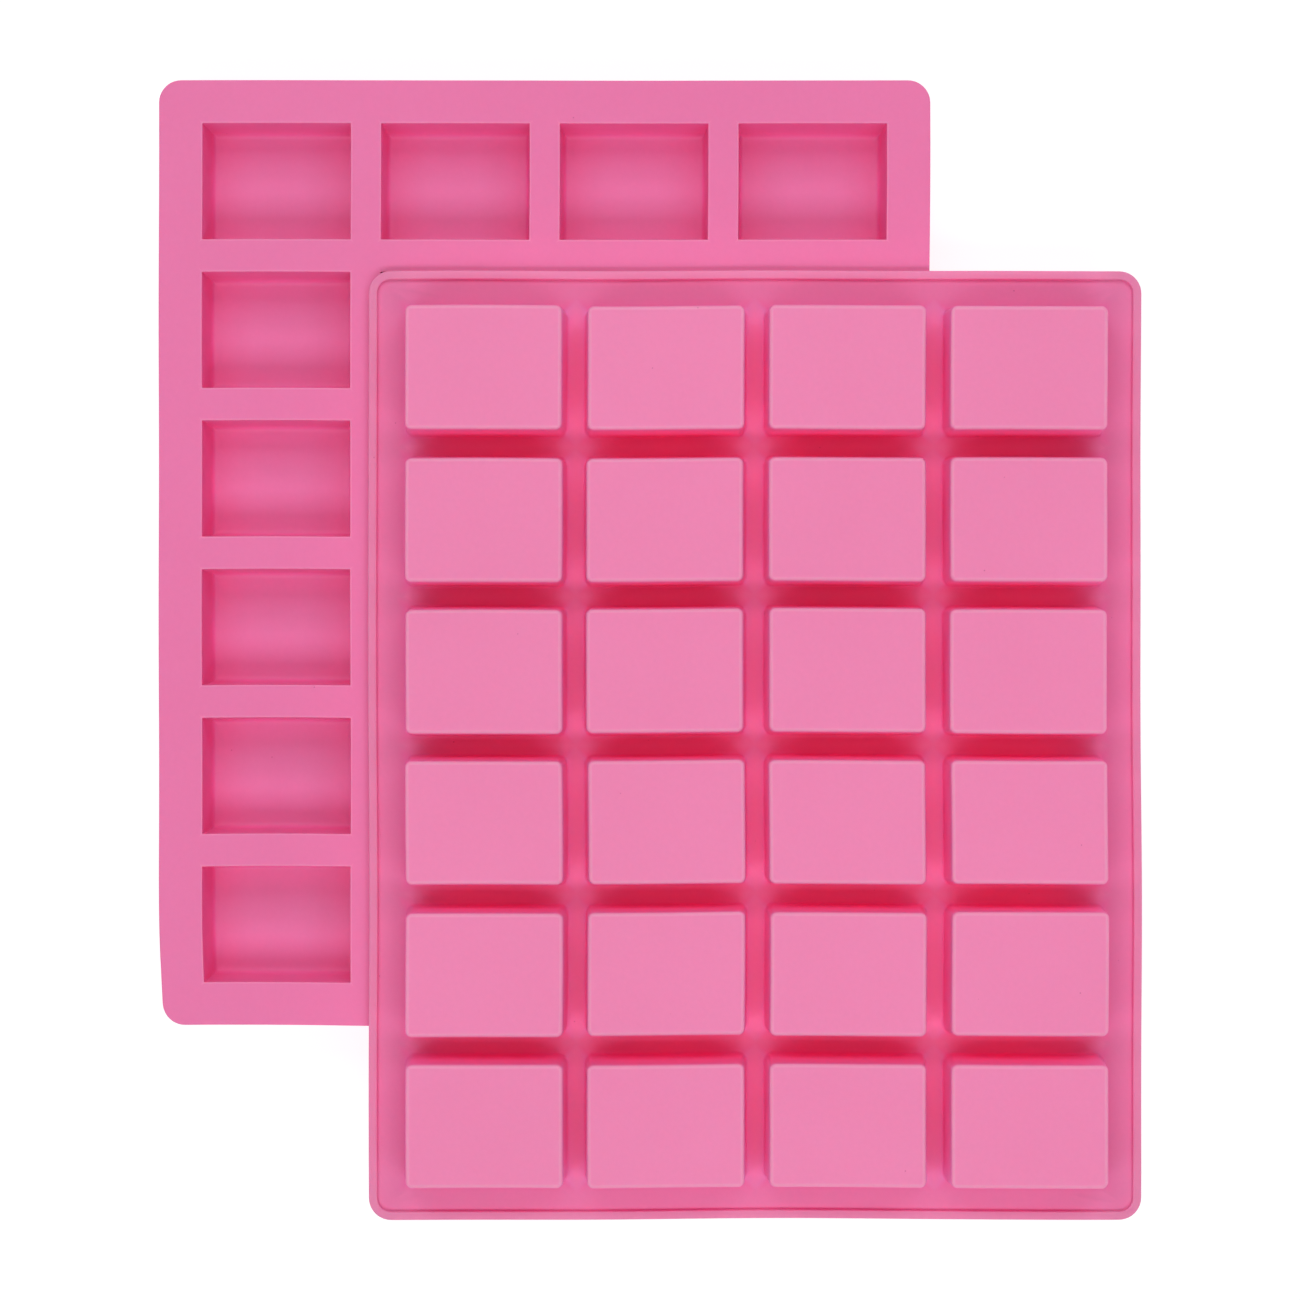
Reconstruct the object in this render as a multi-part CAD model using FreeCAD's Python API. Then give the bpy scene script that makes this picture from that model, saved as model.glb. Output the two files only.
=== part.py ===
# A pair of identical silicone soap-bar moulds, stored one on the other.
#
# Each mould is a single injection-moulded silicone piece: a flat deck with a turned-down rim,
# and a grid of tapered rectangular cups hanging below it, each cup open at the deck's top face.
# The lower mould stands on the flat bottoms of its cups with its cavities open upwards.
# The upper mould is turned over and lies deck to deck on the lower one, shifted sideways and
# towards the front, so its cup bottoms face up.
#
# Frame: millimetres, +Z up, origin under the middle of the pair, on the surface it stands on.
# +X runs along the cup rows and +Y along the columns, towards the back edge.
import FreeCAD, Part
import os

from FreeCAD import Placement, Rotation, Vector

# Cup grid
COLUMNS = 4
ROWS = 6
PITCH_X = 60.0
PITCH_Y = 50.0

# One cavity: the soap bar's shape
CAVITY_X = 49.8
CAVITY_Y = 39.0
CAVITY_DEPTH = 23.0
DRAFT_INSET = 0.95
CAVITY_CORNER_RADIUS = 0.6
FLOOR_EDGE_RADIUS = 0.8
MOUTH_EDGE_RADIUS = 0.3

# The silicone around it
FLOOR_THICKNESS = 2.0
WALL_THICKNESS = 2.0
DECK_THICKNESS = 2.2
CUP_CORNER_RADIUS = 2.2
CUP_BOTTOM_EDGE_RADIUS = 1.5
CUP_ROOT_RADIUS = 1.0

# Deck outline and rim
MOULD_X = 259.0
MOULD_Y = 318.0
OUTLINE_CORNER_RADIUS = 7.5
RIM_WIDTH = 2.9
RIM_HEIGHT = 4.0
RIM_EDGE_RADIUS = 0.5

# How the upper mould lies on the lower one
SHIFT_X = 70.8
SHIFT_Y = -64.4

# Worked out from the sizes above
MOULD_HEIGHT = CAVITY_DEPTH + FLOOR_THICKNESS
DECK_UNDERSIDE = MOULD_HEIGHT - DECK_THICKNESS
RIM_UNDERSIDE = MOULD_HEIGHT - RIM_HEIGHT
INSET_PER_MM = DRAFT_INSET / CAVITY_DEPTH
CUTTER_OVERRUN = 1.0
PLANE_TOLERANCE = 1e-3


def is_level(edge, height):
    """True if the whole edge lies at this height."""
    box = edge.BoundBox
    return abs(box.ZMin - height) < PLANE_TOLERANCE and abs(box.ZMax - height) < PLANE_TOLERANCE


def level_edges(shape, height):
    return [edge for edge in shape.Edges if is_level(edge, height)]


def upright_edges(shape):
    """The edges that run the shape's whole height."""
    height = shape.BoundBox.ZLength
    return [edge for edge in shape.Edges if abs(edge.BoundBox.ZLength - height) < PLANE_TOLERANCE]


def rounded_plate(size_x, size_y, corner_radius, low, high):
    """An upright-sided plate with rounded corners, centred on the Z axis."""
    plate = Part.makeBox(size_x, size_y, high - low, Vector(-size_x / 2, -size_y / 2, low))
    return plate.makeFillet(corner_radius, upright_edges(plate))


def tapered_block(size_x, size_y, taper, corner_radius, edge_radius, low, high):
    """A block that widens upwards by taper per mm on each side. The sizes are those at low."""
    height = high - low
    half_x = size_x / 2
    half_y = size_y / 2
    grown_x = half_x + taper * height
    grown_y = half_y + taper * height
    # A wedge widens along its own Y, so it is built there and stood up.
    wedge = Part.makeWedge(-half_x, 0, -half_y, -grown_y, -grown_x, half_x, height, half_y, grown_y, grown_x)
    wedge.Placement = Placement(Vector(0, 0, low), Rotation(Vector(1, 0, 0), 90))
    block = wedge.makeFillet(corner_radius, upright_edges(wedge))
    return block.makeFillet(edge_radius, level_edges(block, low))


def make_cup():
    """The outside of one cup, up to the middle of the deck so that the two join."""
    bottom_x = CAVITY_X - 2 * DRAFT_INSET + 2 * WALL_THICKNESS
    bottom_y = CAVITY_Y - 2 * DRAFT_INSET + 2 * WALL_THICKNESS
    top = DECK_UNDERSIDE + DECK_THICKNESS / 2
    return tapered_block(
        bottom_x, bottom_y, INSET_PER_MM, CUP_CORNER_RADIUS, CUP_BOTTOM_EDGE_RADIUS, 0.0, top
    )


def make_cavity():
    """The soap bar's shape, carried past the deck's top face to cut the mouth open."""
    floor_x = CAVITY_X - 2 * DRAFT_INSET
    floor_y = CAVITY_Y - 2 * DRAFT_INSET
    top = MOULD_HEIGHT + CUTTER_OVERRUN
    return tapered_block(
        floor_x, floor_y, INSET_PER_MM, CAVITY_CORNER_RADIUS, FLOOR_EDGE_RADIUS, FLOOR_THICKNESS, top
    )


def over_grid(shape):
    """A copy of the shape at each place of the cup grid."""
    copies = []
    for column in range(COLUMNS):
        for row in range(ROWS):
            x = (column - (COLUMNS - 1) / 2) * PITCH_X
            y = (row - (ROWS - 1) / 2) * PITCH_Y
            copies.append(shape.translated(Vector(x, y, 0)))
    return copies


def make_deck():
    """The flat deck with its turned-down rim, all outer and rim edges softened."""
    slab = rounded_plate(MOULD_X, MOULD_Y, OUTLINE_CORNER_RADIUS, RIM_UNDERSIDE, MOULD_HEIGHT)
    pocket = rounded_plate(
        MOULD_X - 2 * RIM_WIDTH,
        MOULD_Y - 2 * RIM_WIDTH,
        OUTLINE_CORNER_RADIUS - RIM_WIDTH,
        RIM_UNDERSIDE - CUTTER_OVERRUN,
        DECK_UNDERSIDE,
    )
    deck = slab.cut(pocket)
    softened = [
        edge
        for height in (RIM_UNDERSIDE, DECK_UNDERSIDE, MOULD_HEIGHT)
        for edge in level_edges(deck, height)
    ]
    return deck.makeFillet(RIM_EDGE_RADIUS, softened)


def make_mould():
    """One whole mould, cavities up, standing on Z = 0 and centred on the Z axis."""
    blank = make_deck().multiFuse(over_grid(make_cup())).removeSplitter()
    rim_inner_x = MOULD_X / 2 - RIM_WIDTH - RIM_EDGE_RADIUS
    rim_inner_y = MOULD_Y / 2 - RIM_WIDTH - RIM_EDGE_RADIUS
    roots = [
        edge
        for edge in level_edges(blank, DECK_UNDERSIDE)
        if max(abs(edge.BoundBox.XMin), abs(edge.BoundBox.XMax)) < rim_inner_x - PLANE_TOLERANCE
        and max(abs(edge.BoundBox.YMin), abs(edge.BoundBox.YMax)) < rim_inner_y - PLANE_TOLERANCE
    ]
    blank = blank.makeFillet(CUP_ROOT_RADIUS, roots)
    mould = blank.cut(Part.makeCompound(over_grid(make_cavity())))
    outline_x = MOULD_X / 2 - RIM_EDGE_RADIUS
    outline_y = MOULD_Y / 2 - RIM_EDGE_RADIUS
    mouths = [
        edge
        for edge in level_edges(mould, MOULD_HEIGHT)
        if max(abs(edge.BoundBox.XMin), abs(edge.BoundBox.XMax)) < outline_x - PLANE_TOLERANCE
        and max(abs(edge.BoundBox.YMin), abs(edge.BoundBox.YMax)) < outline_y - PLANE_TOLERANCE
    ]
    mould = mould.makeFillet(MOUTH_EDGE_RADIUS, mouths)
    return mould.Solids[0]


def main():
    os.makedirs("parts", exist_ok=True)
    mould = make_mould()

    lower = mould.copy()
    lower.translate(Vector(-SHIFT_X / 2, -SHIFT_Y / 2, 0))

    upper = mould.copy()
    upper.rotate(Vector(0, 0, 0), Vector(0, 1, 0), 180)
    upper.translate(Vector(SHIFT_X / 2, SHIFT_Y / 2, 2 * MOULD_HEIGHT))

    for name, solid in (("lower_mould", lower), ("upper_mould", upper)):
        solid.exportStep(f"parts/{name}.step")
        print(name, "valid" if solid.isValid() else "INVALID", len(solid.Faces), "faces",
              round(solid.Volume / 1000, 1), "cm3", solid.BoundBox)


main()
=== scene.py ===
import math
import random

import bmesh
import bpy
import numpy as np
from mathutils import Matrix, Vector


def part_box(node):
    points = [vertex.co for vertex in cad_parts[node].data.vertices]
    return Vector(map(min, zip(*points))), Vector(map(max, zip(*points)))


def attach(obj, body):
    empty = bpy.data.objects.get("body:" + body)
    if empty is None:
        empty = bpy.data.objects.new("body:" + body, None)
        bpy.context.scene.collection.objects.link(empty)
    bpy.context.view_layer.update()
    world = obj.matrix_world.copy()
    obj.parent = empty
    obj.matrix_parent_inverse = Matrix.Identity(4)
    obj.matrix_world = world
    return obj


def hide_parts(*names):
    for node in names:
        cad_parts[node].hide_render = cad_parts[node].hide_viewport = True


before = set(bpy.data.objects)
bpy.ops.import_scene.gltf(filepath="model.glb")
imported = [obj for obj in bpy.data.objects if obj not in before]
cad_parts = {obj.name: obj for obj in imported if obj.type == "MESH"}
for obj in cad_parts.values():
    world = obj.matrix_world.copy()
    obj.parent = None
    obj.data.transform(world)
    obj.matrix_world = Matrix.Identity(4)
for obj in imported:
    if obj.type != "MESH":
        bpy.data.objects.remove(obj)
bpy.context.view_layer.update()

# All lengths are metres, in the mould's own frame: cavities up, cup bottoms at z = 0.
MM = 0.001

# Cup grid
COLUMNS = 4
ROWS = 6
PITCH_X = 60 * MM
PITCH_Y = 50 * MM

# Cavity and cup
CAVITY_HALF_X = 24.9 * MM
CAVITY_HALF_Y = 19.5 * MM
CAVITY_CORNER = 0.25 * MM
DRAFT = 0.95 / 23
FLOOR = 2.0 * MM
WALL = 2.0 * MM
DECK = 2.2 * MM
CUP_CORNER = 2.2 * MM
CUP_INSET = 0.95 * MM
MOUTH_EDGE = 0.3 * MM
FLOOR_EDGE = 1.8 * MM
CUP_ROOT = 1.0 * MM
CUP_EDGE = 1.5 * MM
SMALLEST_CAVITY_CORNER = 0.2 * MM
SMALLEST_CUP_CORNER = 0.6 * MM
MOUTH_SPREAD = 1.2 * MM

# Rim round the deck
OUTLINE_CORNER = 7.5 * MM
RIM_WIDTH = 2.9 * MM
RIM_HEIGHT = 4.0 * MM
RIM_EDGE = 0.5 * MM

# How far soft silicone strays from its mould's true shape
CUP_LEAN = 0.25 * MM
WALL_BOW = 0.18 * MM
OUTLINE_SWAY = 0.35 * MM
CORNER_PULL = 1.4 * MM
CORNER_PULL_SLANT = 0.3
CORNER_PULL_REACH = 24 * MM
OVERHANG_DROOP = 1.0 * MM
CAVITY_FLOOR_BULGE = (-0.15 * MM, 0.05 * MM)
CUP_BOTTOM_BULGE = (0.02 * MM, 0.12 * MM)
LOWER_SEED = 802
UPPER_SEED = 241

# Tones of the unpolished outer side. The deeper tone at the feet of the cups is painted shade, in another
# tone in the gaps between columns; the last value is how far it reaches from a cup's foot. The side margin
# factor is painted shade too.
OUTER_PINK = np.array([0.985, 0.256, 0.517])
CUP_BOTTOM_PINK = np.array([0.985, 0.262, 0.498])
PAINTED_SHADE_PINK = np.array([0.975, 0.172, 0.45])
COLUMN_GAP_PAINTED_SHADE_PINK = np.array([0.94, 0.24, 0.56])
SIDE_MARGIN_SHADE = 0.89
PAINTED_SHADE_REACH = 2 * MM

# Tones of the polished inner side. The walls' tones are painted shade, lighter on the long walls that face
# the softboxes; the floors are painted darker in the middle, where both softboxes reach, and lighter
# towards the walls, which shade them.
DECK_PINK = np.array([0.93, 0.215, 0.46])
SHORT_WALL_PAINTED_SHADE_PINK = np.array([0.92, 0.15, 0.422])
LONG_WALL_PAINTED_SHADE_PINK = np.array([0.97, 0.19, 0.48])
FLOOR_MIDDLE_PAINTED_SHADE_PINK = np.array([0.77, 0.197, 0.427])
FLOOR_END_PAINTED_LIGHT_PINK = np.array([0.89, 0.212, 0.48])
FLOOR_SIDE_PAINTED_LIGHT = np.array([1.11, 1.07, 1.09])

# Painted highlight, full on the cups' edges and half on the mouths' edges and the rim's lip
EDGE_HIGHLIGHT_PINK = np.array([0.985, 0.325, 0.535])
HALF_HIGHLIGHT = 0.5

# Specks of dust trapped in the silicone
DUST = (0.55, 0.10, 0.24, 1.0)
SPECK_SPACING = 12 * MM
SPECK_RADIUS = 0.32 * MM

# The softboxes and the fill, a trace cooler than white. The fill is pale at the horizon, as a backdrop is,
# and fades to its own strength between two heights, given as the sines of their angles.
LIGHT_COLOUR = (0.97, 1.0, 1.0)
HORIZON_STRENGTH = 0.85
HORIZON_FADE = (0.1, 0.3)
FILL_STRENGTH = 0.2
AIMED_AT = Vector((0.0, 0.0, 0.03))

# The floor, which glows a little so that it stays white round the moulds
STUDIO_FLOOR_SIZE = 12.0
STUDIO_FLOOR_WHITE = 0.3
STUDIO_FLOOR_GLOW = 0.82

# How finely the curves are drawn
CORNER_STEPS = 8
STEPS_X = 8
STEPS_Y = 6
EDGE_STEPS = 4
CUP_EDGE_STEPS = 6
OUTLINE_CORNER_STEPS = 5

# Where the extra rings lie that keep the mesh even: down the walls, and on the flats beside rounded edges
CAVITY_WALL_RINGS = (19 * MM, 13 * MM, 8 * MM, 4 * MM)
CUP_WALL_RINGS = (17 * MM, 12 * MM, 7 * MM, 3 * MM, 2 * MM)
BELOW_MOUTH = 1.0 * MM
BELOW_ROOT = 1.6 * MM
AROUND_MOUTH = (1.6 * MM, 0.7 * MM)
INSIDE_CAVITY_FOOT = 0.6 * MM
INSIDE_CUP_EDGE = 0.7 * MM
CAVITY_PATCH_INSET = 4.0 * MM
CUP_PATCH_INSET = 5.0 * MM
INSIDE_OUTLINE = (3.0 * MM, 1.4 * MM)
INSIDE_RIM = (1.4 * MM, 2.6 * MM)
SQUARE_CORNER = 3.0 * MM
CAVITY_PATCH_CORNER = 2.0 * MM
SAME_LINE = 1e-9
WELD_DISTANCE = 0.002 * MM

# Camera: straight down, as far above the lower mould's deck as a product photographer's would be
CAMERA_HEIGHT = 1.3
VIEW_WIDTH = 436.8 * MM
CAMERA_X = 0.2 * MM
CAMERA_Y = -0.27 * MM
SENSOR_WIDTH = 36.0
CLIP_END = 50.0

lower_box = [Vector(corner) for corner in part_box("lower_mould")]
upper_box = [Vector(corner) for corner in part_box("upper_mould")]
mould_size = lower_box[1] - lower_box[0]
HALF_X = mould_size.x / 2
HALF_Y = mould_size.y / 2
TOP = mould_size.z
DECK_UNDERSIDE = TOP - DECK
RIM_UNDERSIDE = TOP - RIM_HEIGHT


# ---------------------------------------------------------------- camera

def make_camera():
    data = bpy.data.cameras.new("camera")
    data.sensor_width = SENSOR_WIDTH
    data.lens = SENSOR_WIDTH * CAMERA_HEIGHT / VIEW_WIDTH
    data.clip_end = CLIP_END
    camera = bpy.data.objects.new("camera", data)
    camera.location = (CAMERA_X, CAMERA_Y, lower_box[1].z + CAMERA_HEIGHT)
    bpy.context.scene.collection.objects.link(camera)
    bpy.context.scene.camera = camera


make_camera()


# ---------------------------------------------------------------- mould mesh

def corner_points(radius, square):
    """A quarter corner about its own centre, from +X round to +Y, round or square."""
    points = []
    for step in range(CORNER_STEPS + 1):
        angle = math.radians(90) * step / CORNER_STEPS
        x, y = math.cos(angle), math.sin(angle)
        reach = max(x, y) if square else 1.0
        points.append((radius * x / reach, radius * y / reach))
    return points


def ring(half_x, half_y, radius, z, square=False):
    """A closed rectangle of points with round or square corners, anticlockwise from above."""
    quarter = corner_points(radius, square)
    corners = []
    for turn, (side_x, side_y) in enumerate([(1, 1), (-1, 1), (-1, -1), (1, -1)]):
        middle = (side_x * (half_x - radius), side_y * (half_y - radius))
        turned = quarter
        for _ in range(turn):
            turned = [(-y, x) for x, y in turned]
        corners.append([(middle[0] + x, middle[1] + y) for x, y in turned])
    points = []
    for turn, corner in enumerate(corners):
        points += corner
        start, end = corner[-1], corners[(turn + 1) % 4][0]
        steps = STEPS_X if turn % 2 == 0 else STEPS_Y
        for step in range(1, steps):
            share = step / steps
            x = start[0] + share * (end[0] - start[0])
            y = start[1] + share * (end[1] - start[1])
            points.append((x, y))
    return np.array([(x, y, z) for x, y in points])


def arc(centre, radius, start, end, steps=EDGE_STEPS):
    """Points (outwards, up) round a small edge, from start to end degrees."""
    angles = [math.radians(start + (end - start) * step / steps) for step in range(steps + 1)]
    return [(centre[0] + radius * math.cos(a), centre[1] + radius * math.sin(a)) for a in angles]


def grid_patch(edge_ring, bulge):
    """Points of the rectangle inside a square ring, as rows, with its middle raised by bulge."""
    half_x, half_y = edge_ring[:, 0].max(), edge_ring[:, 1].max()
    on_top = np.abs(edge_ring[:, 1] - half_y) < SAME_LINE
    on_right = np.abs(edge_ring[:, 0] - half_x) < SAME_LINE
    xs = np.sort(edge_ring[on_top, 0])
    ys = np.sort(edge_ring[on_right, 1])
    grid_x, grid_y = np.meshgrid(xs, ys)
    dome = (1 - (grid_x / half_x) ** 2) * (1 - (grid_y / half_y) ** 2)
    return np.stack([grid_x, grid_y, edge_ring[0, 2] + bulge * dome], axis=-1)


def cell_middle(number, count, pitch):
    """How far the middle of this column or row of cups lies from the mould's middle."""
    return (number - (count - 1) / 2) * pitch


def cavity_rings():
    """From the deck's top face over the mouth's edge and down to the cavity floor."""
    floor_reach = -DRAFT * (TOP - FLOOR)
    around = [(reach, TOP) for reach in AROUND_MOUTH]
    edge = arc((MOUTH_EDGE, TOP - MOUTH_EDGE), MOUTH_EDGE, 90, 180)
    sides = [(-DRAFT * (TOP - z), z) for z in (TOP - BELOW_MOUTH, *CAVITY_WALL_RINGS)]
    foot = arc((floor_reach - FLOOR_EDGE, FLOOR + FLOOR_EDGE), FLOOR_EDGE, 0, -90)
    past_foot = [(floor_reach - FLOOR_EDGE - INSIDE_CAVITY_FOOT, FLOOR)]
    rings = [ring(PITCH_X / 2, PITCH_Y / 2, SQUARE_CORNER, TOP, square=True)]
    for reach, z in around + edge + sides + foot + past_foot:
        radius = max(CAVITY_CORNER + min(reach, MOUTH_SPREAD), SMALLEST_CAVITY_CORNER)
        rings.append(ring(CAVITY_HALF_X + reach, CAVITY_HALF_Y + reach, radius, z))
    patch_half_x = CAVITY_HALF_X + floor_reach - CAVITY_PATCH_INSET
    patch_half_y = CAVITY_HALF_Y + floor_reach - CAVITY_PATCH_INSET
    rings.append(ring(patch_half_x, patch_half_y, CAVITY_PATCH_CORNER, FLOOR, square=True))
    return rings


def cup_rings():
    """From the deck's underside round the cup's root, down its wall and onto its flat bottom."""
    foot_reach = WALL - CUP_INSET
    root_reach = foot_reach + DRAFT * DECK_UNDERSIDE
    root = arc((root_reach + CUP_ROOT, DECK_UNDERSIDE - CUP_ROOT), CUP_ROOT, 90, 180)
    sides = [(foot_reach + DRAFT * z, z) for z in (DECK_UNDERSIDE - BELOW_ROOT, *CUP_WALL_RINGS)]
    foot = arc((foot_reach - CUP_EDGE, CUP_EDGE), CUP_EDGE, 0, -90, steps=CUP_EDGE_STEPS)
    past_foot = [(foot_reach - CUP_EDGE - INSIDE_CUP_EDGE, 0.0)]
    rings = [ring(PITCH_X / 2, PITCH_Y / 2, SQUARE_CORNER, DECK_UNDERSIDE, square=True)]
    for reach, z in root + sides + foot + past_foot:
        radius = max(CUP_CORNER + reach - foot_reach, SMALLEST_CUP_CORNER)
        rings.append(ring(CAVITY_HALF_X + reach, CAVITY_HALF_Y + reach, radius, z))
    patch_half_x = CAVITY_HALF_X + foot_reach - CUP_PATCH_INSET
    patch_half_y = CAVITY_HALF_Y + foot_reach - CUP_PATCH_INSET
    rings.append(ring(patch_half_x, patch_half_y, SQUARE_CORNER, 0.0, square=True))
    return rings


def grid_lines(edge_ring, axis, count, pitch):
    """Every point along one side of the whole cup grid, in order."""
    half = edge_ring[:, axis].max()
    other = 1 - axis
    on_side = np.abs(edge_ring[:, other] - edge_ring[:, other].max()) < SAME_LINE
    cell = np.sort(edge_ring[on_side, axis])
    middles = [cell_middle(number, count, pitch) for number in range(count)]
    points = np.concatenate([cell[:-1] + middle for middle in middles])
    return np.append(points, middles[-1] + half)


def outline_ring(lines_x, lines_y, inset, z):
    """A rounded rectangle inset from the outline, with a point for each point round the cup grid's edge."""
    radius = OUTLINE_CORNER - inset
    middle_x, middle_y = HALF_X - OUTLINE_CORNER, HALF_Y - OUTLINE_CORNER
    points = []
    for turn in range(4):
        lines, half_along, half_across = (
            (lines_x, middle_x, middle_y) if turn % 2 == 0 else (lines_y, middle_y, middle_x)
        )
        last = len(lines) - 1
        straight = half_along / lines[last - OUTLINE_CORNER_STEPS]
        # Along a side that runs from its right-hand corner to its left-hand one.
        for number in range(last):
            if number < OUTLINE_CORNER_STEPS:
                angle = math.radians(45 + 45 * number / OUTLINE_CORNER_STEPS)
                x = half_along + radius * math.cos(angle)
                y = half_across + radius * math.sin(angle)
            elif number > last - OUTLINE_CORNER_STEPS:
                angle = math.radians(135 - 45 * (last - number) / OUTLINE_CORNER_STEPS)
                x = -half_along + radius * math.cos(angle)
                y = half_across + radius * math.sin(angle)
            else:
                x = lines[last - number] * straight
                y = half_across + radius
            for _ in range(turn):
                x, y = -y, x
            points.append((x, y, z))
    return np.array(points)


def grid_edge_ring(lines_x, lines_y, z):
    """The cup grid's own outer edge, point for point as outline_ring goes."""
    half_x, half_y = lines_x[-1], lines_y[-1]
    top = [(x, half_y, z) for x in lines_x[:0:-1]]
    left = [(-half_x, y, z) for y in lines_y[:0:-1]]
    bottom = [(x, -half_y, z) for x in lines_x[:-1]]
    right = [(half_x, y, z) for y in lines_y[:-1]]
    return np.array(top + left + bottom + right)


def rim_rings(lines_x, lines_y):
    """From the deck's top face out over the edge, round under the rim and back to the cup grid."""
    outer_top = arc((RIM_EDGE, TOP - RIM_EDGE), -RIM_EDGE, -90, 0)
    outer_foot = arc((RIM_EDGE, RIM_UNDERSIDE + RIM_EDGE), -RIM_EDGE, 0, 90)
    inner_foot = arc((RIM_WIDTH - RIM_EDGE, RIM_UNDERSIDE + RIM_EDGE), RIM_EDGE, -90, 0)
    inner_top = arc((RIM_WIDTH + RIM_EDGE, DECK_UNDERSIDE - RIM_EDGE), -RIM_EDGE, 0, -90)
    before = [(inset, TOP) for inset in INSIDE_OUTLINE]
    after = [(RIM_WIDTH + inset, DECK_UNDERSIDE) for inset in INSIDE_RIM]
    profile = before + outer_top + outer_foot + inner_foot + inner_top + after
    rings = [grid_edge_ring(lines_x, lines_y, TOP)]
    rings += [outline_ring(lines_x, lines_y, inset, z) for inset, z in profile]
    rings.append(grid_edge_ring(lines_x, lines_y, DECK_UNDERSIDE))
    return rings


class Surface:
    """Collects points and quads for one mesh. inner is 1 on the polished side, where the soap goes."""

    def __init__(self):
        self.points = np.empty((0, 3))
        self.inner = np.empty(0)
        self.quads = []

    def add(self, points, inner):
        first = len(self.points)
        points = np.asarray(points).reshape(-1, 3)
        self.points = np.concatenate([self.points, points])
        self.inner = np.concatenate([self.inner, np.broadcast_to(inner, len(points))])
        return first

    def loft(self, rings, inner):
        """Quads between each closed ring and the next."""
        size = len(rings[0])
        first = self.add(np.concatenate(rings), inner)
        for number in range(len(rings) - 1):
            this_ring = first + number * size
            next_ring = this_ring + size
            for i in range(size):
                j = (i + 1) % size
                self.quads.append((this_ring + i, this_ring + j, next_ring + j, next_ring + i))

    def patch(self, rows, inner):
        """Quads over a grid of points."""
        height, width = rows.shape[:2]
        first = self.add(rows, inner)
        for row in range(height - 1):
            for column in range(width - 1):
                corner = first + row * width + column
                self.quads.append((corner, corner + 1, corner + width + 1, corner + width))


def mould_surface(rng):
    """The closed surface of one mould."""
    surface = Surface()
    inside, outside = cavity_rings(), cup_rings()
    for column in range(COLUMNS):
        for row in range(ROWS):
            middle_x = cell_middle(column, COLUMNS, PITCH_X)
            middle_y = cell_middle(row, ROWS, PITCH_Y)
            place = np.array([middle_x, middle_y, 0.0])
            surface.loft([points + place for points in inside], 1.0)
            surface.loft([points + place for points in outside], 0.0)
            surface.patch(grid_patch(inside[-1], rng.uniform(*CAVITY_FLOOR_BULGE)) + place, 1.0)
            surface.patch(grid_patch(outside[-1], rng.uniform(*CUP_BOTTOM_BULGE)) + place, 0.0)
    lines_x = grid_lines(inside[0], 0, COLUMNS, PITCH_X)
    lines_y = grid_lines(inside[0], 1, ROWS, PITCH_Y)
    rim = rim_rings(lines_x, lines_y)
    heights = np.concatenate(rim)[:, 2]
    surface.loft(rim, (heights > TOP - 0.5 * RIM_EDGE).astype(float))
    return surface


def smooth_step(value, low, high):
    """0 at low, 1 at high, and a smooth rise between."""
    share = np.clip((value - low) / (high - low), 0.0, 1.0)
    return share * share * (3.0 - 2.0 * share)


def within_cells(points):
    """Each point's column and row in the cup grid, and its place from that cup's middle."""
    column = np.clip(np.round(points[:, 0] / PITCH_X + (COLUMNS - 1) / 2), 0, COLUMNS - 1).astype(int)
    row = np.clip(np.round(points[:, 1] / PITCH_Y + (ROWS - 1) / 2), 0, ROWS - 1).astype(int)
    across = points[:, 0] - cell_middle(column, COLUMNS, PITCH_X)
    along = points[:, 1] - cell_middle(row, ROWS, PITCH_Y)
    return column, row, across, along


def blend(first, second, share):
    """From one colour to the other, for each point's share."""
    return first + (second - first) * share[:, None]


def by_long_side(across, along):
    """1 beside a cup's long sides and 0 beside its short ones."""
    past_long = np.abs(along) - CAVITY_HALF_Y
    past_short = np.abs(across) - CAVITY_HALF_X
    return smooth_step(past_long - past_short, -1.0 * MM, 1.0 * MM)


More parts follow.
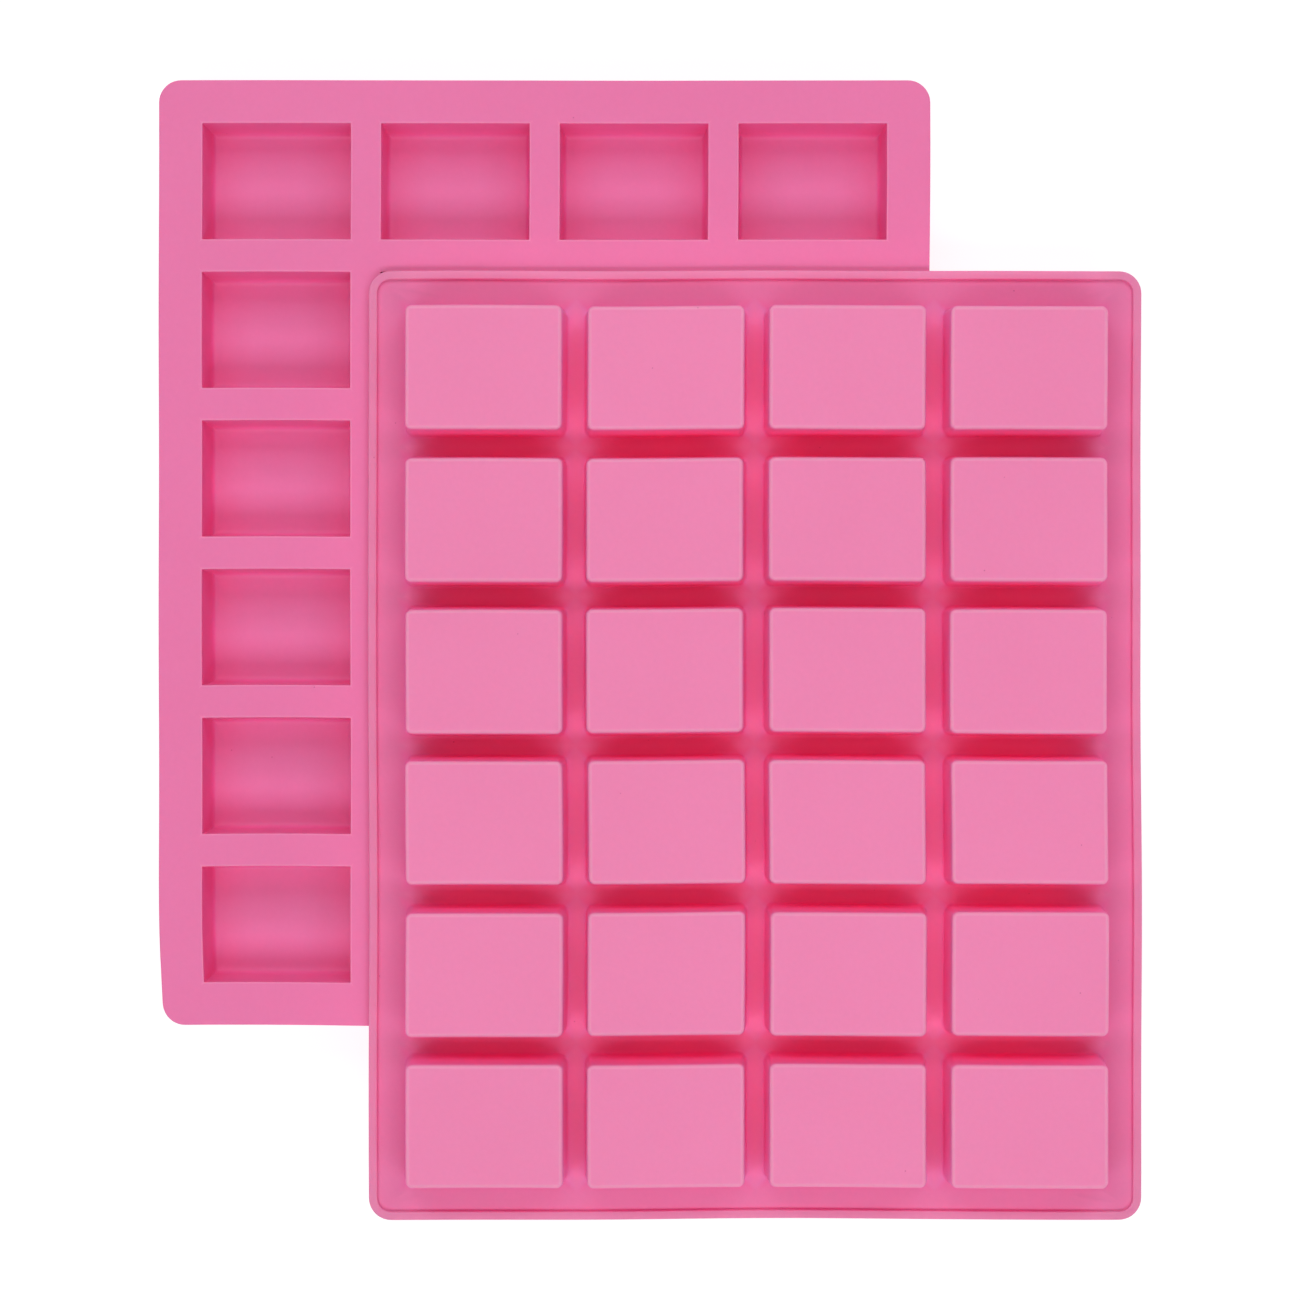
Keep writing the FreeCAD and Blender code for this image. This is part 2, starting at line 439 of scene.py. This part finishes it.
def outer_tones(points):
    """The unpolished side: a painted highlight on the cups' edges and the rim's lip, painted shade on the
    walls and at the feet of the cups, and painted shade on the left and right margins.
    """
    _, _, across, along = within_cells(points)
    height = points[:, 2]
    grid_half_x = cell_middle(COLUMNS - 1, COLUMNS, PITCH_X) + CAVITY_HALF_X
    past_grid = np.abs(points[:, 0]) - grid_half_x
    # Measured from the cup's wall at its root, so its bottom edge is at minus its inset and radius.
    from_wall = np.maximum(np.abs(across) - CAVITY_HALF_X, np.abs(along) - CAVITY_HALF_Y) - WALL
    off_bottom = smooth_step(height, 0.25 * CUP_EDGE, 0.6 * CUP_EDGE)
    # Painted shade: full on the cups' walls and fading away from their feet.
    painted_shade = off_bottom * np.exp(-np.maximum(from_wall, 0.0) / PAINTED_SHADE_REACH)
    column_gap = (past_grid < 0.0) * (1.0 - by_long_side(across, along))
    painted_shade_tones = blend(PAINTED_SHADE_PINK, COLUMN_GAP_PAINTED_SHADE_PINK, column_gap)
    tones = blend(OUTER_PINK, painted_shade_tones, painted_shade)
    tones = blend(CUP_BOTTOM_PINK, tones, off_bottom)
    # Painted highlight on the cups' bottom edges, and at half strength on the rim's lip.
    cup_edge_highlight = (from_wall > 0.1 * MM - CUP_INSET - CUP_EDGE) * (1.0 - off_bottom)
    to_outline = np.maximum(np.abs(points[:, 0]) - HALF_X, np.abs(points[:, 1]) - HALF_Y)
    lip = 1.0 - smooth_step(height, RIM_UNDERSIDE + 0.2 * MM, RIM_UNDERSIDE + 1.2 * MM)
    rim_lip_highlight = HALF_HIGHLIGHT * lip * (to_outline > -1.2 * RIM_WIDTH)
    tones = blend(tones, EDGE_HIGHLIGHT_PINK, np.maximum(cup_edge_highlight, rim_lip_highlight))
    return blend(tones, SIDE_MARGIN_SHADE * tones, smooth_step(past_grid, 1.0 * MM, 4.0 * MM))


def inner_tones(points):
    """The polished side: the deck's top face with a painted highlight round the mouths, the cavities' walls
    in painted shade, and their floors painted darker in the middle and lighter near the walls.
    """
    _, _, across, along = within_cells(points)
    height = points[:, 2]
    from_mouth = np.maximum(np.abs(across) - CAVITY_HALF_X, np.abs(along) - CAVITY_HALF_Y)
    # Painted highlight at half strength round each cavity's mouth.
    tones = blend(DECK_PINK, EDGE_HIGHLIGHT_PINK, HALF_HIGHLIGHT * (from_mouth < 0.5 * MM))
    # Painted shade on the cavities' walls, lighter on the long walls that face the softboxes.
    painted_wall_shade = blend(SHORT_WALL_PAINTED_SHADE_PINK, LONG_WALL_PAINTED_SHADE_PINK, by_long_side(across, along))
    tones = blend(tones, painted_wall_shade, smooth_step(TOP - height, 0.3 * MOUTH_EDGE, MOUTH_EDGE))
    # Painted light and shade on the floors: darker in the middle, where both softboxes reach, and lighter
    # towards the ends and sides, which the walls shade.
    floor_end = smooth_step(np.abs(along) / CAVITY_HALF_Y, 0.1, 0.8)
    painted_floor_tones = blend(FLOOR_MIDDLE_PAINTED_SHADE_PINK, FLOOR_END_PAINTED_LIGHT_PINK, floor_end)
    floor_side = smooth_step(np.abs(across) / CAVITY_HALF_X, 0.4, 0.9)
    painted_floor_tones = blend(painted_floor_tones, FLOOR_SIDE_PAINTED_LIGHT * painted_floor_tones, floor_side)
    floor = 1.0 - smooth_step(height, FLOOR, FLOOR + 0.3 * FLOOR_EDGE)
    return blend(tones, painted_floor_tones, floor)


def slacken_cups(points, rng):
    """Leans each cup a little its own way and bows its walls, more towards its bottom."""
    column, row, across, along = within_cells(points)
    depth = np.clip((RIM_UNDERSIDE - points[:, 2]) / RIM_UNDERSIDE, 0.0, 1.0)
    cells = [[[rng.uniform(-1, 1) for _ in range(4)] for _ in range(ROWS)] for _ in range(COLUMNS)]
    lean_x, lean_y, bow_x, bow_y = np.array(cells)[column, row].T
    share_x, share_y = 2 * across / PITCH_X, 2 * along / PITCH_Y
    points[:, 0] += depth * (CUP_LEAN * lean_x + WALL_BOW * bow_x * share_x * (1 - share_y**2))
    points[:, 1] += depth * (CUP_LEAN * lean_y + WALL_BOW * bow_y * share_y * (1 - share_x**2))


def sway_outline(points, rng):
    """Bends the whole sheet in its own plane by a few tenths of a millimetre."""
    still = points.copy()
    for axis, half, other_half in ((0, HALF_X, HALF_Y), (1, HALF_Y, HALF_X)):
        for waves in (1, 2, 3):
            phase = rng.uniform(0, math.tau)
            one_side = rng.uniform(-1, 1)
            wave = np.sin(phase + math.pi * waves * still[:, 1 - axis] / other_half)
            points[:, axis] += OUTLINE_SWAY / waves * wave * (0.5 + 0.5 * one_side * still[:, axis] / half)


def pull_corner(points):
    """Draws the front left corner in a little, as a soft sheet's loose corner lies."""
    distance = np.hypot(points[:, 0] + HALF_X, points[:, 1] + HALF_Y)
    pull = CORNER_PULL * np.exp(-((distance / CORNER_PULL_REACH) ** 2))
    points[:, 0] += pull
    points[:, 1] += CORNER_PULL_SLANT * pull


def droop_overhang(points):
    """Lets what reaches past the lower mould, on the right and in front, hang down a little."""
    past_right = np.maximum(points[:, 0] - lower_box[1].x, 0.0) / (upper_box[1].x - lower_box[1].x)
    past_front = np.maximum(lower_box[0].y - points[:, 1], 0.0) / (lower_box[0].y - upper_box[0].y)
    points[:, 2] -= OVERHANG_DROOP * (past_right**2 + past_front**2)


def build_mould(name, placing, seed, lies_on_top):
    """One mould as a smooth all-quad mesh, in the frame's own coordinates."""
    rng = random.Random(seed)
    surface = mould_surface(rng)
    tones = blend(outer_tones(surface.points), inner_tones(surface.points), surface.inner)
    points = surface.points.copy()
    slacken_cups(points, rng)
    sway_outline(points, rng)
    if not lies_on_top:
        pull_corner(points)
    turn = np.array(placing.to_3x3())
    points = points @ turn.T + np.array(placing.translation)
    if lies_on_top:
        droop_overhang(points)
    mesh = bpy.data.meshes.new(name)
    mesh.from_pydata(points.tolist(), [], surface.quads)
    mesh.attributes.new("inner", "FLOAT", "POINT").data.foreach_set("value", surface.inner)
    tones = np.column_stack([tones, np.ones(len(tones))])
    mesh.attributes.new("tone", "FLOAT_COLOR", "POINT").data.foreach_set("color", tones.ravel())
    tidy = bmesh.new()
    tidy.from_mesh(mesh)
    bmesh.ops.remove_doubles(tidy, verts=tidy.verts, dist=WELD_DISTANCE)
    bmesh.ops.recalc_face_normals(tidy, faces=tidy.faces)
    open_edges = sum(1 for edge in tidy.edges if not edge.is_manifold)
    print(name, "faces", len(tidy.faces), "open edges", open_edges, "volume cm3", tidy.calc_volume() * 1e6)
    tidy.to_mesh(mesh)
    tidy.free()
    mesh.shade_smooth()
    piece = bpy.data.objects.new(name, mesh)
    bpy.context.scene.collection.objects.link(piece)
    return piece


# ---------------------------------------------------------------- material

def add_node(tree, kind, inputs=None, **settings):
    """A shader node with its settings, and its inputs linked or set."""
    made = tree.nodes.new(kind)
    for name, value in settings.items():
        setattr(made, name, value)
    for socket, value in (inputs or {}).items():
        if isinstance(value, bpy.types.NodeSocket):
            tree.links.new(value, made.inputs[socket])
        else:
            made.inputs[socket].default_value = value
    return made


def noise(tree, place, size, detail):
    """Soft noise whose lumps are about this size."""
    inputs = {"Vector": place, "Scale": 1.0 / size, "Detail": detail}
    return add_node(tree, "ShaderNodeTexNoise", inputs).outputs["Fac"]


def remap(tree, value, low, high, to_low, to_high):
    """The value's range from low to high, stretched to run from to_low to to_high."""
    inputs = {"Value": value, "From Min": low, "From Max": high, "To Min": to_low, "To Max": to_high}
    return add_node(tree, "ShaderNodeMapRange", inputs).outputs["Result"]


def vary(tree, place, size, detail, low, high):
    """Noise that wanders between low and high. Nearly all of a noise node's output is 0.3 to 0.7."""
    return remap(tree, noise(tree, place, size, detail), 0.3, 0.7, low, high)


def specks(tree, place):
    """1 in sparse round specks of trapped dust, where a speck's middle lies near the surface."""
    inputs = {"Vector": place, "Scale": 1.0 / SPECK_SPACING}
    distance = add_node(tree, "ShaderNodeTexVoronoi", inputs).outputs["Distance"]
    radius = SPECK_RADIUS / SPECK_SPACING
    return remap(tree, distance, 0.5 * radius, radius, 1.0, 0.0)


def silicone_material(name):
    """Soft matte silicone in the mesh's tones, which carry its painted highlights and shade, a little
    glossier on the polished side.
    """
    material = bpy.data.materials.new(name)
    material.use_nodes = True
    tree = material.node_tree
    shader = tree.nodes["Principled BSDF"]
    place = add_node(tree, "ShaderNodeTexCoord").outputs["Object"]
    tone = add_node(tree, "ShaderNodeAttribute", attribute_name="tone").outputs["Color"]
    inner = add_node(tree, "ShaderNodeAttribute", attribute_name="inner").outputs["Fac"]
    dust = specks(tree, place)

    # Colour: cloudy pigment, fine grain and dust over the surface's tone, with its painted highlights and
    # shade.
    pigment = vary(tree, place, 90 * MM, detail=3.0, low=0.975, high=1.015)
    grain = vary(tree, place, 1.6 * MM, detail=4.0, low=0.99, high=1.01)
    shade = add_node(tree, "ShaderNodeMath", {0: pigment, 1: grain}, operation="MULTIPLY").outputs[0]
    colour = add_node(tree, "ShaderNodeHueSaturation", {"Value": shade, "Color": tone}).outputs["Color"]
    dust_share = remap(tree, dust, 0.0, 1.0, 0.0, 0.55)
    # A colour mix takes its share in socket 0 and its two colours in 6 and 7, and gives the result in 2.
    inputs = {0: dust_share, 6: colour, 7: DUST}
    colour = add_node(tree, "ShaderNodeMix", inputs, data_type="RGBA").outputs[2]
    tree.links.new(colour, shader.inputs["Base Color"])

    # Gloss: patchy, and smoother on the polished side.
    roughness = vary(tree, place, 14 * MM, detail=4.0, low=0.5, high=0.6)
    polish = remap(tree, inner, 0.0, 1.0, 0.0, 0.08)
    roughness = add_node(tree, "ShaderNodeMath", {0: roughness, 1: polish}, operation="SUBTRACT").outputs[0]
    tree.links.new(roughness, shader.inputs["Roughness"])

    # Relief: slow ripples, fine grain and pits where the dust is.
    ripple = noise(tree, place, 40 * MM, detail=1.0)
    texture = noise(tree, place, 0.5 * MM, detail=2.0)
    normal = add_node(tree, "ShaderNodeBump", {"Height": ripple, "Distance": 0.12 * MM}).outputs["Normal"]
    for height, distance in ((texture, 0.012 * MM), (dust, -0.08 * MM)):
        inputs = {"Height": height, "Distance": distance, "Normal": normal}
        normal = add_node(tree, "ShaderNodeBump", inputs).outputs["Normal"]
    tree.links.new(normal, shader.inputs["Normal"])

    shader.inputs["IOR"].default_value = 1.41
    shader.inputs["Specular IOR Level"].default_value = 0.25
    shader.inputs["Subsurface Weight"].default_value = 0.25
    shader.inputs["Subsurface Radius"].default_value = (1.0, 0.25, 0.4)
    shader.inputs["Subsurface Scale"].default_value = 0.4 * MM
    return material


# ---------------------------------------------------------------- scene

def make_floor():
    """A wide white floor at the height that the lower mould stands on."""
    bpy.ops.mesh.primitive_plane_add(size=STUDIO_FLOOR_SIZE, location=(0.0, 0.0, 0.0))
    floor = bpy.context.object
    floor.name = "studio_floor"
    material = bpy.data.materials.new("studio_white")
    material.use_nodes = True
    shader = material.node_tree.nodes["Principled BSDF"]
    white = STUDIO_FLOOR_WHITE
    shader.inputs["Base Color"].default_value = (white, white, white, 1.0)
    shader.inputs["Roughness"].default_value = 0.9
    shader.inputs["Emission Color"].default_value = (1.0, 1.0, 1.0, 1.0)
    shader.inputs["Emission Strength"].default_value = STUDIO_FLOOR_GLOW
    floor.data.materials.append(material)


def make_softbox(name, place, size_x, size_y, watts):
    """An area light at this place, aimed at the pair."""
    data = bpy.data.lights.new(name, "AREA")
    data.color = LIGHT_COLOUR
    data.shape = "RECTANGLE"
    data.size = size_x
    data.size_y = size_y
    data.energy = watts
    light = bpy.data.objects.new(name, data)
    light.location = place
    light.rotation_euler = (AIMED_AT - Vector(place)).to_track_quat("-Z", "Y").to_euler()
    bpy.context.scene.collection.objects.link(light)


def make_lights():
    """A long softbox in front and one behind, with a dim fill from all round."""
    make_softbox("softbox_front", (0.0, -0.72, 1.52), size_x=2.2, size_y=0.5, watts=14.2)
    make_softbox("softbox_back", (0.0, 0.9, 1.45), size_x=2.2, size_y=0.7, watts=13.2)
    world = bpy.data.worlds.new("studio_fill")
    world.use_nodes = True
    tree = world.node_tree
    background = tree.nodes["Background"]
    background.inputs["Color"].default_value = (*LIGHT_COLOUR, 1.0)
    direction = add_node(tree, "ShaderNodeTexCoord").outputs["Generated"]
    upwards = add_node(tree, "ShaderNodeSeparateXYZ", {"Vector": direction}).outputs["Z"]
    fill = remap(tree, upwards, HORIZON_FADE[0], HORIZON_FADE[1], HORIZON_STRENGTH, FILL_STRENGTH)
    tree.links.new(fill, background.inputs["Strength"])
    bpy.context.scene.world = world


lower_middle = (lower_box[0] + lower_box[1]) / 2
upper_middle = (upper_box[0] + upper_box[1]) / 2
lower_placing = Matrix.Translation((lower_middle.x, lower_middle.y, lower_box[0].z))
upper_placing = Matrix.Translation((upper_middle.x, upper_middle.y, upper_box[1].z)) @ Matrix.Rotation(
    math.radians(180), 4, "Y"
)

for node, body, placing, seed in (
    ("lower_mould", "lower", lower_placing, LOWER_SEED),
    ("upper_mould", "upper", upper_placing, UPPER_SEED),
):
    piece = build_mould(f"{node}_silicone", placing, seed, lies_on_top=body == "upper")
    piece.data.materials.append(silicone_material(f"{node}_pink_silicone"))
    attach(piece, body)
    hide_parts(node)

make_floor()
make_lights()

# Light bounces many times between the cups' walls, which is what deepens the colour of the gaps.
scene = bpy.context.scene
scene.view_settings.view_transform = "Standard"
scene.cycles.diffuse_bounces = 24
scene.cycles.max_bounces = 32
